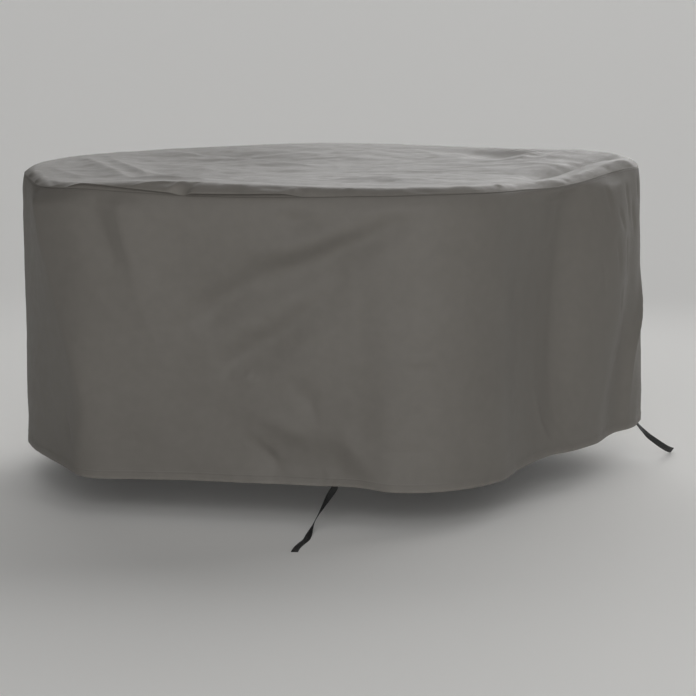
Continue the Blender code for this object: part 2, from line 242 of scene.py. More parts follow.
# A fold is a line of rows. Each row is a place, a height and a reach to the left and to the right, as seen
# along the line from its first row. A negative height is a trough. A low power gives a sharp crease and 2
# gives a soft one.
Fold = namedtuple("Fold", "power rows")

# On the wall a place is a bearing and a drop below the seam. The bearings run from -250 to 110, from one side
# of the closing seam to the other.
WALL_FOLDS = {
    "corner at the left": Fold(1.2, [
        (-151.5, 0, 26, 220, 70),
        (-150, 60, 30, 230, 75),
        (-146.5, 210, 34, 230, 85),
        (-142, 400, 34, 210, 100),
        (-139.5, 500, 32, 190, 110),
        (-136.5, 620, 26, 160, 110),
        (-137, 720, 20, 140, 110),
        (-142, 840, 12, 120, 100),
    ]),
    "hollow under the rim at the left": Fold(1.7, [
        (-135.5, 30, -6, 34, 60),
        (-134.5, 80, -12, 36, 70),
        (-133, 140, -12, 36, 70),
        (-131.5, 210, -9, 34, 60),
    ]),
    "fold beside the hollow at the left": Fold(1.25, [
        (-130.2, 20, 6, 60, 28),
        (-129.6, 80, 13, 70, 30),
        (-128.6, 150, 12, 70, 28),
        (-127.6, 220, 8, 60, 26),
        (-126.4, 330, 6, 50, 24),
        (-124, 440, 4, 45, 24),
    ]),
    "small hollow under the rim": Fold(2.0, [
        (-100, 60, -6, 30, 26),
        (-97, 68, -13, 32, 26),
        (-93.5, 75, -6, 30, 26),
    ]),
    "long slanting trough": Fold(1.9, [
        (-76, 70, -4, 34, 28),
        (-80, 100, -16, 42, 32),
        (-87, 155, -26, 54, 38),
        (-95, 205, -30, 64, 44),
        (-103, 240, -28, 70, 46),
        (-109, 285, -34, 72, 50),
        (-114, 340, -32, 68, 50),
        (-118, 390, -9, 56, 44),
    ]),
    "ridge above the long trough": Fold(1.7, [
        (-84, 75, 3, 26, 30),
        (-91, 115, 10, 30, 34),
        (-98, 150, 14, 34, 36),
        (-105, 160, 6, 34, 36),
    ]),
    "second slanting trough": Fold(1.8, [
        (-88, 260, -5, 45, 34),
        (-94, 335, -19, 56, 40),
        (-100, 405, -26, 60, 42),
        (-106, 455, -30, 62, 46),
        (-110, 500, -20, 56, 46),
        (-110, 550, -5, 50, 44),
    ]),
    "hollow above the swelling": Fold(1.6, [
        (-97, 570, -4, 30, 26),
        (-94, 610, -9, 30, 24),
        (-93, 660, -4, 26, 22),
    ]),
    "swelling near the hem": Fold(1.6, [
        (-106, 635, 4, 40, 36),
        (-101, 672, 11, 42, 34),
        (-96.5, 705, 10, 36, 22),
    ]),
    "sharp crease near the hem": Fold(1.2, [
        (-106, 720, -3, 12, 26),
        (-103, 760, -10, 10, 30),
        (-100.5, 800, -6, 10, 26),
    ]),
    "hollow under the swelling": Fold(2.0, [
        (-101, 790, -15, 60, 56),
        (-95, 785, -19, 64, 56),
        (-90, 790, -13, 50, 56),
    ]),
    "small swelling near the hem": Fold(1.6, [
        (-88, 710, 6, 40, 34),
        (-85.5, 765, 11, 42, 34),
        (-82, 830, 7, 40, 34),
    ]),
    "upright swelling at the front": Fold(2.2, [
        (-74, 50, 4, 140, 120),
        (-73, 300, 8, 150, 140),
        (-72, 600, 8, 150, 140),
        (-72, 840, 6, 140, 120),
    ]),
    "broad upright trough": Fold(2.2, [
        (-29, 40, -34, 110, 300),
        (-30, 200, -60, 120, 330),
        (-31, 500, -62, 130, 330),
        (-32, 740, -44, 120, 290),
        (-32, 860, -30, 110, 260),
    ]),
    "upright fold at the right": Fold(1.8, [
        (-10, 30, 16, 110, 140),
        (-9, 200, 40, 120, 160),
        (-9, 450, 40, 120, 160),
        (-12, 700, 20, 110, 150),
        (-14, 840, 10, 100, 140),
    ]),
    "folded edge at the right": Fold(1.3, [
        (7.5, 360, 4, 30, 13),
        (5, 480, 18, 34, 13),
        (2, 580, 23, 34, 13),
        (1, 700, 20, 32, 15),
        (1, 840, 12, 30, 18),
    ]),
    "curved fold near the hem": Fold(1.5, [
        (-38, 630, 2, 40, 22),
        (-36, 700, 6, 44, 22),
        (-33, 780, 7, 45, 24),
        (-27, 855, 5, 45, 26),
    ]),
    "first upright fold at the back": Fold(1.8, [
        (47, 40, 4, 80, 120),
        (49, 400, 14, 90, 130),
        (52, 840, 10, 80, 120),
    ]),
    "second upright fold at the back": Fold(1.8, [
        (84, 50, -6, 110, 70),
        (82, 380, -16, 120, 80),
        (85, 840, -8, 100, 70),
    ]),
    "third upright fold at the back": Fold(1.6, [
        (-229, 40, 6, 60, 110),
        (-227, 300, 16, 70, 120),
        (-231, 620, 12, 70, 110),
        (-234, 840, 4, 60, 100),
    ]),
    "fourth upright fold at the back": Fold(2.0, [
        (-202, 100, -4, 90, 90),
        (-200, 500, -14, 100, 100),
        (-203, 840, -10, 90, 100),
    ]),
}

# A wrinkle is a short, fine fold that runs out at both ends.
WRINKLE_END = 0.8  # how finely: 1 is a bow
Wrinkle = namedtuple("Wrinkle", "bearing drop end_bearing end_drop height reach")
WALL_WRINKLES = [Wrinkle(*row) for row in [
    (-77, 485, -69.5, 480, 3.5, 12),
    (-77, 512, -70.5, 510, -4, 12),
    (-77, 572, -69, 566, -2.8, 9),
    (-76, 622, -73, 655, -2.2, 9),
    (-81, 752, -72, 748, -3, 10),
    (-71.5, 600, -69, 660, 2.2, 11),
    (-66, 690, -64, 790, -3, 12),
    (-35, 700, -30, 800, -3, 10),
    (-30, 710, -25, 810, -3.5, 10),
    (-25, 730, -20, 800, -3, 9),
    (-19, 740, -14, 800, -3, 9),
    (-9.5, 110, -6, 190, -7, 9),
    (-16, 270, -15, 370, -5.5, 9),
    (-20, 60, -17, 150, -3, 9),
    (-14, 30, -12, 130, -5.5, 9),
    (-4, 40, -2, 170, -6.5, 9),
    (-11, 200, -9, 310, -5.5, 9),
    (-5, 210, -3, 340, -6.5, 9),
    (-20, 380, -18, 480, -3, 9),
    (-8, 360, -6.5, 470, -5.5, 9),
    (0, 90, 2, 220, -6.5, 9),
    (3.5, 20, 5, 110, -6, 10),
    (-144, 685, -140.5, 775, -4.5, 11),
    (-129.5, 770, -126, 770, 3, 11),
    (-131, 745, -127, 738, -2.8, 10),
    (-100, 440, -96, 430, -2.6, 10),
    (-93, 485, -89, 482, -2.6, 10),
    (-88, 565, -85, 562, -2.2, 9),
    (-91, 820, -88, 850, -4.5, 9),
    (-58, 800, -51, 820, -2.8, 10),
]]

# On the top a place is x and y.
TOP_FOLDS = {
    "long crest from the far left": Fold(1.3, [
        (-660, 740, 3, 30, 60),
        (-560, 580, 11, 34, 80),
        (-420, 410, 13, 34, 80),
        (-240, 280, 11, 30, 80),
        (-80, 160, 4, 30, 60),
    ]),
    "hollow behind the long crest": Fold(2.0, [
        (-500, 720, -10, 140, 70),
        (-400, 560, -20, 170, 80),
        (-260, 430, -18, 170, 80),
        (-80, 300, -6, 140, 70),
    ]),
    "first fold across the left": Fold(1.25, [
        (-860, 440, 4, 30, 45),
        (-800, 190, 12, 34, 50),
        (-710, -120, 12, 34, 50),
        (-620, -400, 5, 30, 45),
    ]),
    "second fold across the left": Fold(1.25, [
        (-780, 500, 5, 45, 30),
        (-700, 100, 12, 55, 34),
        (-620, -140, 12, 55, 34),
        (-570, -300, 5, 45, 30),
    ]),
    "fine fold at the far left": Fold(1.3, [
        (-960, 160, 4, 30, 30),
        (-880, -120, 9, 34, 34),
        (-770, -380, 5, 30, 30),
    ]),
    "crest along the left rim": Fold(1.4, [
        (-970, -80, 5, 45, 40),
        (-930, -260, 14, 45, 40),
        (-860, -460, 12, 45, 40),
    ]),
    "hollow inside the rim at the far right": Fold(2.0, [
        (730, 340, -8, 120, 60),
        (670, 460, -34, 160, 80),
        (590, 570, -34, 170, 90),
        (470, 670, -12, 140, 80),
    ]),
    "first crest at the far right": Fold(1.3, [
        (580, 80, 6, 90, 35),
        (660, 280, 20, 60, 36),
        (750, 460, 20, 50, 36),
        (840, 620, 4, 50, 36),
    ]),
    "second crest at the far right": Fold(1.3, [
        (640, 40, 5, 45, 50),
        (750, 280, 18, 40, 50),
        (850, 460, 16, 40, 50),
        (920, 580, 4, 40, 50),
    ]),
    "deep fold along the right rim": Fold(1.5, [
        (600, -420, -10, 40, 30),
        (670, -270, -44, 40, 34),
        (760, -90, -56, 42, 36),
        (860, 90, -56, 42, 36),
        (960, 300, -24, 40, 34),
    ]),
    "crest beside the deep fold": Fold(1.3, [
        (720, -300, 5, 30, 40),
        (800, -140, 16, 32, 45),
        (880, 20, 16, 32, 45),
        (960, 200, 5, 30, 40),
    ]),
    "corner of the pocket at the left": Fold(1.3, [
        (-640, -500, 8, 50, 40),
        (-530, -580, 18, 55, 42),
        (-400, -630, 10, 50, 40),
    ]),
    "pucker at the front right": Fold(1.4, [
        (360, -700, 6, 40, 40),
        (500, -620, 14, 45, 40),
        (620, -520, 8, 40, 40),
    ]),
    "short fold right of the middle": Fold(1.3, [
        (400, 340, 3, 40, 35),
        (440, 440, 11, 45, 35),
        (490, 560, 5, 40, 35),
    ]),
    "low swelling at the front": Fold(1.8, [
        (20, -420, 4, 90, 90),
        (170, -500, 12, 100, 90),
        (320, -540, 4, 90, 80),
    ]),
}

# A crease is a wrinkle on the sloping rim, by bearing and by share of the way down it.
Crease = namedtuple("Crease", "bearing share end_bearing end_share height reach")
RIM_CREASES = [Crease(*row) for row in [
    (-128, 0.95, -122.5, -0.1, 5, 8),
    (-119.6, -0.2, -121.2, 1.1, 6.5, 9),
    (-126, 0.30, -120, 0.55, -3, 14),
    (-117.2, -0.2, -117.4, 1.2, -4, 6),
    (-97.6, 0.4, -97.0, 1.1, 3, 5),
    (-104, 0.5, -99, 0.7, -3, 10),
    (-112, 0.35, -106, 0.4, 2.5, 12),
    (-87, 0.2, -84, 0.9, 2.6, 18),
    (-76, 0.3, -71, 1.0, -2.4, 18),
    (-67, 0.1, -60, 0.8, 2.2, 26),
    (-56, -0.1, -54, 0.6, 3.4, 14),
    (-50, 0.3, -43, 0.9, -1.4, 20),
    (-41, 0.0, -30, 0.9, 3.4, 26),
    (-28, 0.3, -29, 0.9, -1.6, 12),
    (-24, 0.1, -12, 0.7, 2, 34),
    (-6, 0.3, -9, 0.9, -1.4, 16),
    (-2, 0.1, 4, 0.8, 4.5, 20),
    (-172, 0.2, -166, 0.8, 4.5, 14),
    (-160, 0.1, -156, 0.9, 5, 16),
    (-152, 0.2, -147, 0.8, -4, 12),
]]

# The cloth is also uneven all over, by a height, at a size, both in metres. The seed sets one pattern apart
# from another.
Uneven = namedtuple("Uneven", "height size seed")
PACKED_BROAD = Uneven(0.0022, 0.16, 0.0)
PACKED_FINE = Uneven(0.0008, 0.055, 7.3)
PACKED_CREASES = Uneven(0.0012, 0.10, 3.1)
TOP_LONG = Uneven(0.0016, 0.055, 11.2)
TOP_SLANTING = Uneven(0.0022, 0.15, 14.6)
RIM_PUCKERS = Uneven(0.0014, 0.060, 2.6)
RIM_FINE_PUCKERS = Uneven(0.0006, 0.020, 4.9)
HEM_PUCKERS = Uneven(0.0011, 0.024, 21.3)
WALL_SEED = 1.0
TOP_SEED = 5.0
TOP_CRUMPLE = 1.5  # the top is more crumpled than the wall by this much
LONG_SHARE = 0.45  # the long creases are stretched across the top
SLANT_ALONG = (1.0, 0.5)  # the slanting creases are turned and drawn out
SLANT_ASIDE = (-0.4, 1.8)

# ---------------------------------------------------------------- the shape of the cover


def ease(share):
    """A smooth step from 0 to 1."""
    share = np.clip(share, 0.0, 1.0)
    return share * share * (3.0 - 2.0 * share)


def between(before, start, end, after, share):
    """Smooth curve through start and end, given as (position, value) with a neighbour on each side."""
    span = end[0] - start[0]
    leave = (end[1] - before[1]) / (end[0] - before[0]) * span
    arrive = (after[1] - start[1]) / (after[0] - start[0]) * span
    square = share * share
    cube = square * share
    return (
        (2 * cube - 3 * square + 1) * start[1]
        + (cube - 2 * square + share) * leave
        + (3 * square - 2 * cube) * end[1]
        + (cube - square) * arrive
    )


def sections_at(bearings):
    """The sections' values at each bearing, as a Section of arrays."""
    count = len(SECTIONS)
    table = np.array(SECTIONS, float)
    first = table[0, 0]
    turned = (np.asarray(bearings, float) - first) % 360.0 + first
    index = np.searchsorted(table[:, 0], turned + 1e-9, side="right") - 1
    near = [(index + step) % count for step in (-1, 0, 1, 2)]
    laps = [(index + step) // count for step in (-1, 0, 1, 2)]
    places = [table[row, 0] + 360.0 * lap for row, lap in zip(near, laps)]
    share = (turned - places[1]) / (places[2] - places[1])
    values = [
        between(*[(place, table[row, column]) for place, row in zip(places, near)], share)
        for column in range(1, table.shape[1])
    ]
    return Section(turned, *values)


def smooth_rows(rows, steps):
    """Rows on a smooth curve through the given rows."""
    last = len(rows) - 1
    made = []
    for index in range(last):
        near = [(place, rows[min(last, max(0, place))]) for place in range(index - 1, index + 3)]
        for part in range(steps):
            made.append([
                between(*[(place, row[column]) for place, row in near], part / steps)
                for column in range(len(rows[0]))
            ])
    made.append(list(rows[last]))
    return np.array(made, float)


def fold_height(across, up, lines, power):
    """The height of one fold over flat cloth. Each point takes the nearest place on the fold's line."""
    nearest = np.full(across.shape, np.inf)
    height = np.zeros(across.shape)
    for start, end in zip(lines[:-1], lines[1:]):
        along = end[:2] - start[:2]
        length = np.hypot(*along)
        share = np.clip(
            ((across - start[0]) * along[0] + (up - start[1]) * along[1]) / length**2, 0.0, 1.0
        )
        aside = across - start[0] - along[0] * share
        above = up - start[1] - along[1] * share
        distance = np.hypot(aside, above)
        side = (along[0] * above - along[1] * aside) / (length * np.maximum(distance, 1e-9))
        level, left, right = (a + (b - a) * share for a, b in zip(start[2:], end[2:]))
        reach = 0.5 * (left + right) + 0.5 * (left - right) * side
        closer = distance < nearest
        nearest = np.where(closer, distance, nearest)
        height = np.where(closer, level * np.exp(-((distance / reach) ** power)), height)
    return height


def on_wall(bearing, drop):
    """A place on the wall laid flat, across and up."""
    return np.radians(bearing) * ARC_RADIUS, -drop


def wall_lines(fold):
    """The rows of a fold of the wall, smoothed and laid flat."""
    rows = smooth_rows(fold.rows, FOLD_STEPS)
    rows[:, 1:] *= MM
    rows[:, 0], rows[:, 1] = on_wall(rows[:, 0], rows[:, 1])
    return rows


def wrinkle_height(across, up, start, end, height, reach):
    """The height of a short wrinkle that runs out at both ends."""
    along = np.array(end) - np.array(start)
    length = np.hypot(*along)
    share = ((across - start[0]) * along[0] + (up - start[1]) * along[1]) / length**2
    aside = ((across - start[0]) * along[1] - (up - start[1]) * along[0]) / length
    runs = np.clip(4 * share * (1 - share), 0.0, 1.0) ** WRINKLE_END
    return height * runs * np.exp(-((aside / reach) ** 2))


def dents(kind, across, up, seed=0.0):
    """Smooth swellings and dents."""
    flat = np.stack([across.ravel() / kind.size, up.ravel() / kind.size], axis=1)
    values = [noise.noise((x, y, kind.seed + seed)) for x, y in flat]
    return kind.height * np.array(values).reshape(across.shape)


def ridges(kind, across, up, seed=0.0):
    """Smooth cloth with ridges, which stand where dents and swellings would meet."""
    return kind.height - 2.0 * np.abs(dents(kind, across, up, seed))


def crumple(across, up, seed):
    """The slight unevenness of cloth that was packed away folded."""
    broad = dents(PACKED_BROAD, across, up, seed)
    fine = dents(PACKED_FINE, across, up, seed)
    return broad + fine + ridges(PACKED_CREASES, across, up, seed)


def top_crumple(x, y):
    """The finer creases of the top, which mostly run across it."""
    along = SLANT_ALONG[0] * x + SLANT_ALONG[1] * y
    aside = SLANT_ASIDE[0] * x + SLANT_ASIDE[1] * y
    long = dents(TOP_LONG, LONG_SHARE * x, y)
    return TOP_CRUMPLE * crumple(x, y, TOP_SEED) + long + ridges(TOP_SLANTING, along, aside)


def pockets_at(bearing):
    """The top's slackness at each bearing, from 0 to 1, with its overhang and its lower edge's height."""
    slack, overhang, lift = (np.zeros(np.shape(bearing)) for _ in range(3))
    for pocket in POCKETS:
        begins = ease((bearing - pocket.first_bearing) / pocket.first_ease)
        share = begins * ease((pocket.last_bearing - bearing) / pocket.last_ease)
        along = (bearing - pocket.first_bearing) / (pocket.last_bearing - pocket.first_bearing)
        closer = share > slack
        slack = np.where(closer, share, slack)
        overhang = np.where(closer, share * pocket.overhang, overhang)
        height = pocket.first_lift + (pocket.last_lift - pocket.first_lift) * along
        lift = np.where(closer, share * height, lift)
    return slack, overhang, lift


def polar(radius, bearing, height):
    """Points at a radius, a bearing and a height."""
    radius, angle, height = np.broadcast_arrays(radius, np.radians(bearing), height)
    return np.stack([radius * np.cos(angle), radius * np.sin(angle), height], axis=-1)


def wall_folds(bearing, drop):
    """The height of all the wall's folds and wrinkles above its plain form."""
    across, up = on_wall(bearing, drop)
    folds = np.zeros(across.shape)
    for fold in WALL_FOLDS.values():
        folds += fold_height(across, up, wall_lines(fold), fold.power)
    for wrinkle in WALL_WRINKLES:
        start = on_wall(wrinkle.bearing, wrinkle.drop * MM)
        end = on_wall(wrinkle.end_bearing, wrinkle.end_drop * MM)
        folds += wrinkle_height(across, up, start, end, wrinkle.height * MM, wrinkle.reach * MM)
    return folds


def edge_inset(bearing, drop=0.0):
    """How far the wall draws in near its upper edge, which carries on the rounding of the rim."""
    table = np.array(EDGE_ROWS)
    inset = np.interp((np.asarray(bearing) + 180.0) % 360.0 - 180.0, table[:, 0], table[:, 1])
    return inset * np.clip(1 - drop / EDGE_DEPTH, 0.0, 1.0) ** 2


def hem_shape(bearing, height):
    """How far the turned-up hem stands out at a height above its edge."""
    across = np.radians(bearing) * ARC_RADIUS
    from_stitches = height - HEM_STITCHES
    fullness = HEM_FULLNESS * ease((HEM_DEPTH + HEM_STEP - height) / HEM_STEP)
    groove = HEM_GROOVE * np.exp(-((from_stitches / HEM_GROOVE_REACH) ** 2))
    puckers = dents(HEM_PUCKERS, across, height)
    return fullness - groove + puckers * np.exp(-((from_stitches / HEM_PUCKER_REACH) ** 2))


def from_closing(bearing):
    """The way round the cover to the closing seam."""
    turned = (np.asarray(bearing) - CLOSING_BEARING + 180.0) % 360.0 - 180.0
    return np.abs(np.radians(turned)) * ARC_RADIUS


def closing_lap(bearing):
    """How far the lap of the closing seam stands out."""
    aside = from_closing(bearing) / CLOSING_HALF
    return CLOSING_LAP * ease((CLOSING_COLUMNS[1] - aside) / (CLOSING_COLUMNS[1] - CLOSING_COLUMNS[0]))


def near_sewn_ends(bearing, height, loose):
    """The looseness of the wall, changed where a tie is sewn to it."""
    for sewn in SEWN_ENDS:
        aside = np.abs(np.radians(bearing - sewn.bearing)) * ARC_RADIUS
        held = ease(2 - aside / SEWN_REACH) * ease(2 - height / SEWN_FADE)
        loose = loose + (sewn.looseness - loose) * held
    return loose


def wall_surface(bearing, drop_share):
    """Points of the wall's outer face. The share runs from 0 at the seam to 1 at the hem."""
    section = sections_at(bearing)
    drop = drop_share * (section.seam_height - section.hem_height)
    lean = ease(drop_share)
    radius = section.seam_radius * (1 - lean) + section.hem_radius * lean
    height = section.seam_height - section.hem_height - drop
    loose = wall_folds(bearing, drop) + crumple(*on_wall(bearing, drop), WALL_SEED)
    loose = near_sewn_ends(bearing, height, loose)
    radius = radius + loose * ease(drop / FOLD_FADE) - edge_inset(bearing, drop)
    radius = radius - LAP * (1 - ease(drop / LAP_RUN))
    radius = radius + hem_shape(bearing, height) + closing_lap(bearing) * ease(drop / FOLD_FADE)
    return polar(radius, bearing, section.seam_height - drop)


def dish_surface(bearing, share):
    """Points of the top inside the rim. The share runs from 0 at the middle to 1 at the highest line."""
    section = sections_at(bearing)
    rim = section.seam_height + section.rim_rise
    points = polar(share * (section.seam_radius - edge_inset(bearing) - RIM_ROUNDING), bearing, 0.0)
    x, y = points[..., 0], points[..., 1]
    folds = top_crumple(x, y)
    for fold in TOP_FOLDS.values():
        folds += fold_height(x, y, smooth_rows(fold.rows, FOLD_STEPS) * MM, fold.power)
    climb = share**DISH_POWER
    dish = CLOTH_THICKNESS + climb * (rim - CLOTH_THICKNESS)
    points[..., 2] = dish + folds * (1 - share**FOLD_END_POWER)
    return points


def rim_folds(bearing, share):
    """The height of the creases and puckers on one line round the rim, at a share of the way down it."""
    across = np.radians(bearing) * ARC_RADIUS
    down = np.full(across.shape, share * RIM_ROUNDING)
    folds = np.zeros(across.shape)
    for crease in RIM_CREASES:
        start = math.radians(crease.bearing) * ARC_RADIUS, crease.share * RIM_ROUNDING
        end = math.radians(crease.end_bearing) * ARC_RADIUS, crease.end_share * RIM_ROUNDING
        folds += wrinkle_height(across, down, start, end, crease.height * MM, crease.reach * MM)
    puckers = dents(RIM_PUCKERS, across, down) + dents(RIM_FINE_PUCKERS, across, down)
    return folds + puckers * ease(from_closing(bearing) / RIM_CALM)


def rim_surface(bearing, share):
    """Points on one line round the rim. The share runs from 0 at its highest line to 1 at its foot."""
    section = sections_at(bearing)
    slack, overhang, lift = pockets_at(bearing)
    reach = RIM_ROUNDING + overhang
    fade = ease(share / RIM_FOLDS_BEGIN) * ease((1 - share) / RIM_FOLDS_END)
    swell = rim_folds(bearing, share) * fade
    radius = section.seam_radius - edge_inset(bearing) - RIM_ROUNDING + reach * share + swell
    foot = section.seam_height + TURNED_EDGE + POCKET_EDGE * slack + lift
    rise = section.seam_height + section.rim_rise - foot
    slope = RIM_SLOPE + (POCKET_SLOPE - RIM_SLOPE) * slack
    turn = 1 + (POCKET_TURN - 1) * slack
    return polar(radius, bearing, foot + rise * (1 - share**slope) ** turn + swell)


def tuck_line(bearing):
    """The line under the rim where the cloth of a slack pocket turns back in to the seam."""
    section = sections_at(bearing)
    slack, _, lift = pockets_at(bearing)
    radius = section.seam_radius - edge_inset(bearing) - TUCK_DEPTH * slack
    height = TUCK_TOP * (TURNED_EDGE + POCKET_EDGE * slack) + lift
    return polar(radius, bearing, section.seam_height + height)


def strip_surface(bearing, share):
    """Points of the narrow upright edge above the seam, from a share of 0 at its top to 1 at the seam."""
    section = sections_at(bearing)
    top = STRIP_TOP * TURNED_EDGE
    height = section.seam_height + SEAM_GAP + (top - SEAM_GAP) * (1 - share)
    return polar(section.seam_radius - edge_inset(bearing), bearing, height)


def column_bearings(columns):
    """Bearings of the columns, which start and end at the back and stand closer at the front."""
    turn = 2 * math.pi * (np.arange(columns + 1) / columns - 0.5)
    return FRONT_BEARING + np.degrees(turn - FRONT_CROWDING * np.sin(turn))


def wall_bearings():
    """The wall's columns, with narrow ones on either side of the closing seam, where they start and end."""
    bearings = column_bearings(WALL_COLUMNS)
    near = np.degrees(CLOSING_HALF / ARC_RADIUS) * np.array(CLOSING_COLUMNS)
    return np.concatenate([
        bearings[:1],
        bearings[0] + near,
        bearings[2:-2],
        bearings[-1] - near[::-1],
        bearings[-1:],
    ])


# ---------------------------------------------------------------- making pieces


def finish_piece(name, mesh, material):
    """The piece that a finished bmesh makes, riding with the cover."""
    data = bpy.data.meshes.new(name)
    mesh.to_mesh(data)
    mesh.free()
    data.materials.append(material)
    piece = bpy.data.objects.new(name, data)
    bpy.context.scene.collection.objects.link(piece)
    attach(piece, "root")
    return piece


def drape(name, places, flat, worn, material, thickness, offset=-1.0):
    """A sheet woven as a flat grid and laid on the places given for its rows and columns.

    The places, the flat cut's coordinates in metres and the wear from 0 to 1 are arrays with a row for each
    ring. The first and last columns are joined where they meet, and so are the points of the first ring. The
    thickness goes inside, or to both sides with an offset of 0.
    """
    rows, columns = places.shape[0] - 1, places.shape[1] - 1
    mesh = bmesh.new()
    cut = mesh.loops.layers.uv.new("flat cut")
    wear = mesh.verts.layers.float.new("wear")
    bmesh.ops.create_grid(mesh, x_segments=columns, y_segments=rows, size=1.0)
    spot = {}
    for vertex in mesh.verts:
        column = round((vertex.co.x + 1) / 2 * columns)
        row = round((1 - vertex.co.y) / 2 * rows)
        spot[vertex] = (row, column)
    for face in mesh.faces:
        for loop in face.loops:
            loop[cut].uv = flat[spot[loop.vert]]
    for vertex, place in spot.items():
        vertex.co = places[place]
        vertex[wear] = worn[place]
    seam = [vertex for vertex, place in spot.items() if place[1] in (0, columns) or place[0] == 0]
    bmesh.ops.remove_doubles(mesh, verts=seam, dist=1e-5)
    sheet = finish_piece(name, mesh, material)
    sheet.data.shade_smooth()
    cloth = sheet.modifiers.new("Cloth thickness", "SOLIDIFY")
    cloth.thickness = thickness
    cloth.offset = offset
    return sheet


# ---------------------------------------------------------------- materials

WEAVE_PITCH = 0.0016  # the threads are 0.5 mm apart, drawn three times coarser so that the grain shows
FADING = 0.30  # patches of dye that the sun has faded more or less
CREASING = 0.11  # the mesh of fine creases left by packing
DUSTING = 0.035  # patches of dust
DENTING = 0.022  # small dents between the creases
HERRINGBONE_WIDTH = 0.0033  # six slanting bands across the webbing
RIB_PITCH = 0.0020  # the ribs are 1.2 mm apart, drawn coarser so that they show
WEBBING_DUST = 0.012
FIBRE_TUFTS = 0.0015  # along a spun thread
COLOUR = {"data_type": "RGBA"}


def linear(code):
    """An sRGB hex colour as linear red, green, blue and alpha."""
    parts = [int(code[place : place + 2], 16) / 255 for place in (0, 2, 4)]
    return (*[c / 12.92 if c <= 0.04045 else ((c + 0.055) / 1.055) ** 2.4 for c in parts], 1.0)


def add(tree, kind, settings=None, **links):
    """A node with its settings, and with sockets set to a value or linked to a socket or another node.

    A socket is named, or given by its number after a low line.
    """
    node = tree.nodes.new(kind)
    for name, value in (settings or {}).items():
        setattr(node, name, value)
    for name, value in links.items():
        key = int(name[1:]) if name[0] == "_" else name.replace("_", " ")
        if isinstance(value, bpy.types.Node):
            value = next(output for output in value.outputs if output.enabled)
        if isinstance(value, bpy.types.NodeSocket):
            tree.links.new(value, node.inputs[key])
        else:
            node.inputs[key].default_value = value
    return node


def new_material(name):
    material = bpy.data.materials.new(name)
    material.use_nodes = True
    tree = material.node_tree
    return material, tree, tree.nodes["Principled BSDF"]


def make_polyester():
    """Polyester woven plain from 600-denier yarn and coated with polyurethane on the inside.

    The eye gets an even grey-taupe with a fine grain, darkened by painted shade in the gaps between the
    threads, small creases from its packing and a slightly paler, drier look where it rubs along folded edges.
    """
    material, tree, shader = new_material("Coated woven polyester, taupe grey")
    cut = add(tree, "ShaderNodeUVMap", {"uv_map": "flat cut"})
    flat = add(tree, "ShaderNodeSeparateXYZ", Vector=cut)
    turns = math.pi / WEAVE_PITCH
    along = add(tree, "ShaderNodeMath", {"operation": "MULTIPLY"}, _0=flat.outputs["X"], _1=turns)
    aside = add(tree, "ShaderNodeMath", {"operation": "MULTIPLY"}, _0=flat.outputs["Y"], _1=turns)
    warp = add(tree, "ShaderNodeMath", {"operation": "SINE"}, _0=along)
    weft = add(tree, "ShaderNodeMath", {"operation": "SINE"}, _0=aside)
    weave = add(tree, "ShaderNodeMath", {"operation": "MULTIPLY"}, _0=warp, _1=weft)
    fading = add(tree, "ShaderNodeTexNoise", Vector=cut, Scale=1 / FADING, Detail=4.0)
    dust = add(tree, "ShaderNodeTexNoise", Vector=cut, Scale=1 / DUSTING, Detail=5.0)
    rubbed = add(tree, "ShaderNodeAttribute", {"attribute_name": "wear"}).outputs["Fac"]
    faded = add(tree, "ShaderNodeMapRange", Value=fading, From_Min=0.30, From_Max=0.70)
    dusty = add(tree, "ShaderNodeMapRange", Value=dust, From_Min=0.35, From_Max=0.65)
    raised = add(tree, "ShaderNodeMapRange", Value=weave, From_Min=0.1, From_Max=0.9)
    dyed = add(tree, "ShaderNodeMix", COLOUR, Factor=faded, _6=linear("85817b"), _7=linear("8b8781"))
    dusting = add(tree, "ShaderNodeMix", COLOUR, Factor=dusty, _6=linear("827e78"), _7=linear("8f8b85"))
    dusted = add(tree, "ShaderNodeMix", COLOUR, Factor=0.25, _6=dyed, _7=dusting)
    # Painted shade: the colour is darkened by up to a fifth where the weave is low, in the gaps between the
    # threads.
    threads = add(tree, "ShaderNodeMix", COLOUR, Factor=raised, _6=linear("dedede"), _7=linear("ffffff"))
    shaded = {**COLOUR, "blend_type": "MULTIPLY"}
    woven = add(tree, "ShaderNodeMix", shaded, Factor=0.75, _6=dusted, _7=threads)
    worn = add(tree, "ShaderNodeMath", {"operation": "MULTIPLY"}, _0=rubbed, _1=dust.outputs["Fac"])
    finish = add(tree, "ShaderNodeMix", COLOUR, Factor=worn, _6=woven, _7=linear("a39e96"))
    tree.links.new(finish.outputs[2], shader.inputs["Base Color"])
    dull = add(tree, "ShaderNodeMapRange", Value=dust, From_Min=0.3, From_Max=0.7, To_Min=0.50, To_Max=0.62)
    tree.links.new(dull.outputs["Result"], shader.inputs["Roughness"])
    shader.inputs["Specular IOR Level"].default_value = 0.25
    packed = {"noise_type": "RIDGED_MULTIFRACTAL"}
    creases = add(tree, "ShaderNodeTexNoise", packed, Vector=cut, Scale=1 / CREASING, Detail=3.0)
    dented = add(tree, "ShaderNodeTexNoise", Vector=cut, Scale=1 / DENTING, Detail=2.0)
    soft = add(tree, "ShaderNodeBump", Strength=0.25, Distance=0.0012, Height=dented)
    creased = add(tree, "ShaderNodeBump", Strength=0.30, Distance=0.0016, Height=creases, Normal=soft)
    grain = add(tree, "ShaderNodeBump", Strength=0.35, Distance=0.0002, Height=weave, Normal=creased)
    tree.links.new(grain.outputs["Normal"], shader.inputs["Normal"])
    return material


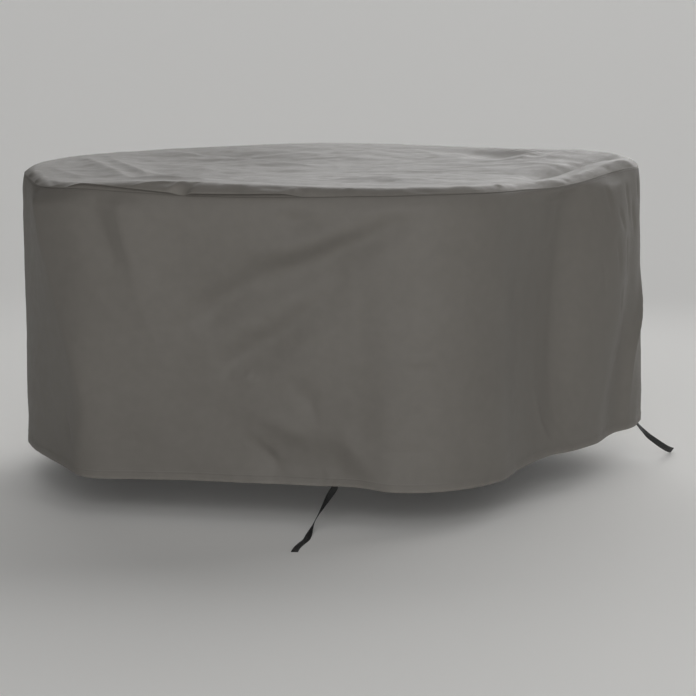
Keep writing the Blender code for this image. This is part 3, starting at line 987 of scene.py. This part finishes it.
def make_webbing():
    """Polypropylene webbing woven in a herringbone of flat, slightly shiny threads.

    The eye gets near-black with paler ribs that slant to and fro across its width.
    """
    material, tree, shader = new_material("Woven polypropylene webbing, black")
    cut = add(tree, "ShaderNodeUVMap", {"uv_map": "flat cut"})
    flat = add(tree, "ShaderNodeSeparateXYZ", Vector=cut)
    folded = {"operation": "PINGPONG"}
    aside = add(tree, "ShaderNodeMath", folded, _0=flat.outputs["X"], _1=HERRINGBONE_WIDTH)
    slanting = add(tree, "ShaderNodeMath", {"operation": "ADD"}, _0=flat.outputs["Y"], _1=aside)
    turned = add(tree, "ShaderNodeMath", {"operation": "MULTIPLY"}, _0=slanting, _1=2 * math.pi / RIB_PITCH)
    ribs = add(tree, "ShaderNodeMath", {"operation": "SINE"}, _0=turned)
    dust = add(tree, "ShaderNodeTexNoise", Vector=cut, Scale=1 / WEBBING_DUST, Detail=3.0)
    raised = add(tree, "ShaderNodeMapRange", Value=ribs, From_Min=0.1, From_Max=0.9)
    dusty = add(tree, "ShaderNodeMapRange", Value=dust, From_Min=0.35, From_Max=0.70)
    ribbed = add(tree, "ShaderNodeMix", COLOUR, Factor=raised, _6=linear("131313"), _7=linear("2a2a29"))
    dusting = add(tree, "ShaderNodeMix", COLOUR, Factor=dusty, _6=linear("121212"), _7=linear("343331"))
    finish = add(tree, "ShaderNodeMix", COLOUR, Factor=0.35, _6=ribbed, _7=dusting)
    tree.links.new(finish.outputs[2], shader.inputs["Base Color"])
    shader.inputs["Roughness"].default_value = 0.55
    relief = add(tree, "ShaderNodeBump", Strength=0.8, Distance=0.0003, Height=ribs)
    tree.links.new(relief.outputs["Normal"], shader.inputs["Normal"])
    return material


def make_thread():
    """Spun polyester sewing thread, matt, a little darker than the cloth and unevenly dusty."""
    material, tree, shader = new_material("Spun polyester sewing thread, taupe grey")
    place = add(tree, "ShaderNodeTexCoord").outputs["Object"]
    spun = add(tree, "ShaderNodeTexNoise", Vector=place, Scale=1 / FIBRE_TUFTS, Detail=2.0)
    twist = add(tree, "ShaderNodeMapRange", Value=spun, From_Min=0.3, From_Max=0.7)
    finish = add(tree, "ShaderNodeMix", COLOUR, Factor=twist, _6=linear("625e58"), _7=linear("7b7771"))
    tree.links.new(finish.outputs[2], shader.inputs["Base Color"])
    shader.inputs["Roughness"].default_value = 0.7
    fibres = add(tree, "ShaderNodeBump", Strength=0.4, Distance=0.0002, Height=spun)
    tree.links.new(fibres.outputs["Normal"], shader.inputs["Normal"])
    return material


polyester = make_polyester()
webbing = make_webbing()
thread = make_thread()

# ---------------------------------------------------------------- ties


def make_tie(name, node, rows, first_side):
    """Flat webbing along its route, with its width along the hem where it is sewn."""
    route = smooth_rows(rows, TIE_STEPS)
    points = [Vector(row[:3]) for row in route]
    side_at_hem = Vector(first_side)
    shares = [step / TIE_COLUMNS - 0.5 for step in range(TIE_COLUMNS + 1)]
    places, flat = [], []
    length = 0.0
    for index, point in enumerate(points):
        before, after = points[max(0, index - 1)], points[min(len(points) - 1, index + 1)]
        along = (after - before).normalized()
        side = (side_at_hem - along * side_at_hem.dot(along)).normalized()
        side.rotate(Matrix.Rotation(math.radians(route[index][3]), 3, along))
        length += (point - points[max(0, index - 1)]).length
        places.append([point + side * (WEBBING_WIDTH * share) for share in shares])
        flat.append([(WEBBING_WIDTH * share, length) for share in shares])
    worn = np.zeros((len(points), len(shares)))
    tie = drape(name, np.array(places), np.array(flat), worn, webbing, WEBBING_THICKNESS, 0.0)
    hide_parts(node)


make_tie("front_tie", "tie_front", FRONT_TIE, FRONT_TIE_SIDE)
make_tie("right_tie", "tie_right", RIGHT_TIE, RIGHT_TIE_SIDE)

# ---------------------------------------------------------------- panels


def make_wall():
    depth = SECTIONS[0].seam_height - SECTIONS[0].hem_height
    first, last = SEAM_ROWS[-1], depth - HEM_ROWS[0]
    middle = first + (last - first) * np.arange(1, WALL_ROWS) / WALL_ROWS
    drops = np.concatenate([SEAM_ROWS, middle, depth - np.array(HEM_ROWS)])
    bearing, drop = np.meshgrid(wall_bearings(), drops)
    places = wall_surface(bearing, drop / depth)
    flat = np.stack([np.radians(bearing) * ARC_RADIUS, -drop], axis=-1)
    worn = HEM_WEAR * np.exp(-(((depth - drop) / HEM_WEAR_REACH) ** 2))
    wall = drape("wall_cloth", places, flat, worn, polyester, CLOTH_THICKNESS)
    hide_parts("wall_panel")


def make_top():
    bearings = column_bearings(TOP_COLUMNS)
    shares = (np.arange(DISH_RINGS + 1) / DISH_RINGS) ** RING_CROWDING
    bearing, share = np.meshgrid(bearings, shares)
    rings = [dish_surface(bearing, share)]
    for step in range(1, RIM_STEPS + 1):
        rings.append(rim_surface(bearings, math.sin(step / RIM_STEPS * math.pi / 2))[None])
    rings.append(tuck_line(bearings)[None])
    rings.append(strip_surface(bearings, 0.0)[None])
    rings.append(strip_surface(bearings, 1.0)[None])
    places = np.concatenate(rings)
    flat = places[..., :2]
    worn = np.zeros(places.shape[:2])
    worn[DISH_RINGS - RIM_WEAR_RINGS : DISH_RINGS + RIM_STEPS] = RIM_WEAR
    top = drape("top_cloth", places, flat, worn, polyester, CLOTH_THICKNESS)
    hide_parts("top_panel")


make_top()
make_wall()

# ---------------------------------------------------------------- stitching


def even_steps(points, step):
    """Points an even step apart along a line of points."""
    lengths = np.concatenate([[0.0], np.cumsum(np.linalg.norm(np.diff(points, axis=0), axis=1))])
    places = np.linspace(0.0, lengths[-1], max(2, round(lengths[-1] / step) + 1))
    return [Vector(place) for place in zip(*[np.interp(places, lengths, axis) for axis in points.T])]


def wall_line(bearings, heights):
    """Points on the wall's outer face at heights above the hem's edge."""
    section = sections_at(bearings)
    depth = section.seam_height - section.hem_height
    return wall_surface(bearings, 1 - heights / depth)


def lay_stitches(mesh, points):
    """A row of stitches from point to point, each a short spindle that sinks in at both ends."""
    for start, end in zip(points[:-1], points[1:]):
        along = end - start
        turned = along.to_track_quat("Z", "Y").to_matrix().to_4x4()
        shape = Matrix.Diagonal((THREAD / 2, THREAD / 2, along.length * STITCH_FILL / 2, 1.0))
        bmesh.ops.create_uvsphere(
            mesh, u_segments=6, v_segments=4, radius=1.0,
            matrix=Matrix.Translation((start + end) / 2) @ turned @ shape,
        )


def make_stitches(name, lines, step):
    """One piece of all the stitches on some lines. Each line has a small mesh first, which is quicker."""
    mesh = bmesh.new()
    for line in lines:
        row = bmesh.new()
        lay_stitches(row, even_steps(line, step))
        data = bpy.data.meshes.new("row of stitches")
        row.to_mesh(data)
        row.free()
        mesh.from_mesh(data)
        bpy.data.meshes.remove(data)
    finish_piece(name, mesh, thread).data.shade_smooth()


def tack_lines(bearing):
    """The square and its two diagonals that hold a tie, stitched through the hem."""
    half = TACK_SIZE / 2
    turn = math.degrees(half / ARC_RADIUS)
    corners = [(-1, -1), (1, -1), (1, 1), (-1, 1), (-1, -1), (1, 1), (1, -1), (-1, 1)]
    spots = [(bearing + turn * x, TACK_HEIGHT + half * y) for x, y in corners]
    lines = []
    for start, end in zip(spots[:-1], spots[1:]):
        bearings, heights = np.linspace(start, end, TACK_POINTS).T
        lines.append(wall_line(bearings, heights))
    return lines


round_bearings = np.linspace(CLOSING_BEARING - 360.0, CLOSING_BEARING, ROUND_POINTS)
whole_hem = wall_line(round_bearings, np.full(ROUND_POINTS, HEM_STITCHES))
whole_seam = wall_surface(round_bearings, np.full(ROUND_POINTS, SEAM_STITCHES / WALL_DEPTH))
hem_lines = np.array_split(whole_hem, ROUND_PARTS)
seam_lines = np.array_split(whole_seam, ROUND_PARTS)
closing_shares = np.linspace(*CLOSING_SHARES, CLOSING_POINTS)
closing_turn = math.degrees(CLOSING_STITCHES / ARC_RADIUS)
closing_lines = [
    wall_surface(np.full(CLOSING_POINTS, CLOSING_BEARING + turn), closing_shares)
    for turn in (-closing_turn, closing_turn)
]
make_stitches("hem_stitches", hem_lines, STITCH)
make_stitches("seam_stitches", seam_lines, STITCH)
make_stitches("closing_stitches", closing_lines, STITCH)
all_tacks = [line for sewn in SEWN_ENDS for line in tack_lines(sewn.bearing)]
make_stitches("tie_stitches", all_tacks, TACK_STEP)

# ---------------------------------------------------------------- floor and light

FLOOR_HEIGHT = -0.985
FLOOR_RADIUS = 500.0  # past where its edge would show
FLOOR_GLOW = 0.03  # as if lit from below
WORLD_STRENGTH = 0.01

# A lamp shines as the sun does, from a bearing and an elevation, and its spread softens its shadows.
Lamp = namedtuple("Lamp", "name bearing elevation strength spread")
LAMPS = [
    Lamp("front", -90, 20, 0.88, 32),
    Lamp("high front", -80, 60, 0.24, 50),
    Lamp("right", 50, 33, 0.68, 40),
    Lamp("low right", 70, 12, 0.74, 30),
    Lamp("back", 95, 35, 0.41, 40),
    Lamp("low back", 92, 11, 0.28, 30),
]

# A soft box is a square lit panel that faces the cover.
SoftBox = namedtuple("SoftBox", "name x y z size power")
SOFT_BOXES = [
    SoftBox("front left", -1.5, -3.5, 1.0, 1.5, 4),
    SoftBox("front right", 2.0, -3.5, 1.0, 1.5, 7),
    SoftBox("behind", 0.6, 3.5, 1.5, 2.0, 13),
]
LAMP_PLACE = (0.0, 0.0, 3.0)  # a lamp lights alike from anywhere


def make_floor():
    mesh = bmesh.new()
    place = Matrix.Translation((0.0, 0.0, FLOOR_HEIGHT))
    bmesh.ops.create_circle(mesh, cap_ends=True, radius=FLOOR_RADIUS, segments=64, matrix=place)
    data = bpy.data.meshes.new("floor")
    mesh.to_mesh(data)
    mesh.free()
    material = bpy.data.materials.new("Plain pale floor")
    material.use_nodes = True
    shader = material.node_tree.nodes["Principled BSDF"]
    shader.inputs["Base Color"].default_value = linear("f4f3f0")
    shader.inputs["Roughness"].default_value = 0.9
    shader.inputs["Emission Color"].default_value = linear("ffffff")
    shader.inputs["Emission Strength"].default_value = FLOOR_GLOW
    data.materials.append(material)
    floor = bpy.data.objects.new("floor", data)
    bpy.context.scene.collection.objects.link(floor)


def set_light(data, place, towards):
    light = bpy.data.objects.new(data.name, data)
    light.location = place
    light.rotation_euler = towards.to_track_quat("Z", "Y").to_euler()
    light.visible_camera = False
    bpy.context.scene.collection.objects.link(light)


def make_lights():
    for lamp in LAMPS:
        data = bpy.data.lights.new(lamp.name, "SUN")
        data.energy = lamp.strength
        data.angle = math.radians(lamp.spread)
        angle, rise = math.radians(lamp.bearing), math.radians(lamp.elevation)
        level = math.cos(rise)
        towards = Vector((math.cos(angle) * level, math.sin(angle) * level, math.sin(rise)))
        set_light(data, LAMP_PLACE, towards)
    for box in SOFT_BOXES:
        data = bpy.data.lights.new(box.name, "AREA")
        data.energy = box.power
        data.size = box.size
        place = Vector((box.x, box.y, box.z))
        set_light(data, place, place)
    world = bpy.data.worlds.new("Studio")
    world.use_nodes = True
    background = world.node_tree.nodes["Background"]
    background.inputs["Color"].default_value = linear("ffffff")
    background.inputs["Strength"].default_value = WORLD_STRENGTH
    bpy.context.scene.world = world


make_floor()
make_lights()
bpy.context.scene.view_settings.view_transform = "Standard"
bpy.context.scene.view_settings.look = "None"

bpy.context.view_layer.update()
